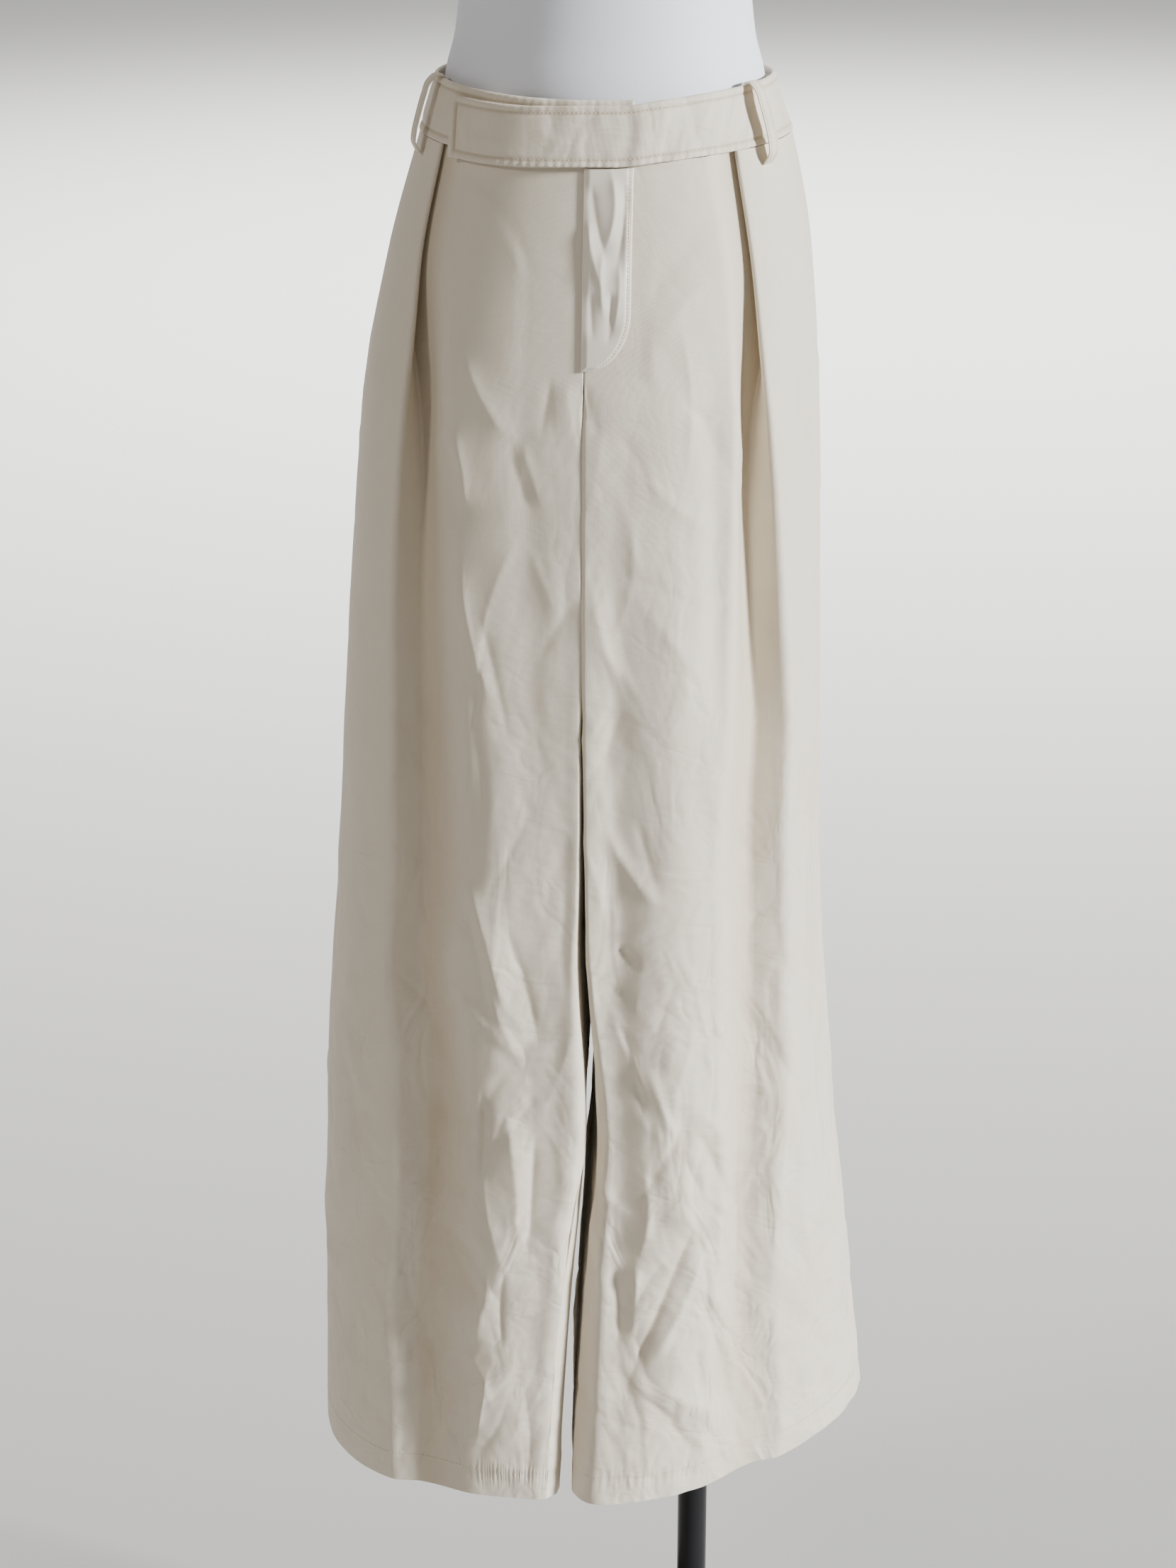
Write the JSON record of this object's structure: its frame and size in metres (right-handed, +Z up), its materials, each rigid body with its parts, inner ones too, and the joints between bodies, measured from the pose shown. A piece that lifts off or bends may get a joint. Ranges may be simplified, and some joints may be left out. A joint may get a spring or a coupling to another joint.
{
  "type": "wide-leg trousers on a dress form",
  "caption": "Wide-leg trousers with deep front pleats, belt loops and a tab waistband, worn by a limbless dress form on an offset pole and round base.",
  "frame": {"origin": "middle of the base plate's underside, on the floor", "axes": "+Z up, -Y towards the front of the trousers, +X towards the wearer's left"},
  "size_m": [0.4656, 0.34, 2.011],
  "materials": {
    "cream_crepe": "fine dull crepe weave with a soft sheen",
    "cream_satin": "smooth satin",
    "pale_form": "matte",
    "black_steel": "gloss black"
  },
  "bodies": {
    "root": {"back_left": "cream_crepe", "back_right": "cream_crepe", "base_plate": "black_steel", "belt_loop_back_left": "cream_crepe", "belt_loop_back_middle": "cream_crepe", "belt_loop_back_right": "cream_crepe", "belt_loop_front_left": "cream_crepe", "belt_loop_front_right": "cream_crepe", "dress_form": "pale_form", "fly": "cream_satin", "front_left": "cream_crepe", "front_right": "cream_crepe", "pole": "black_steel", "waistband_left": "cream_crepe", "waistband_right": "cream_crepe"}
  },
  "joints": []
}
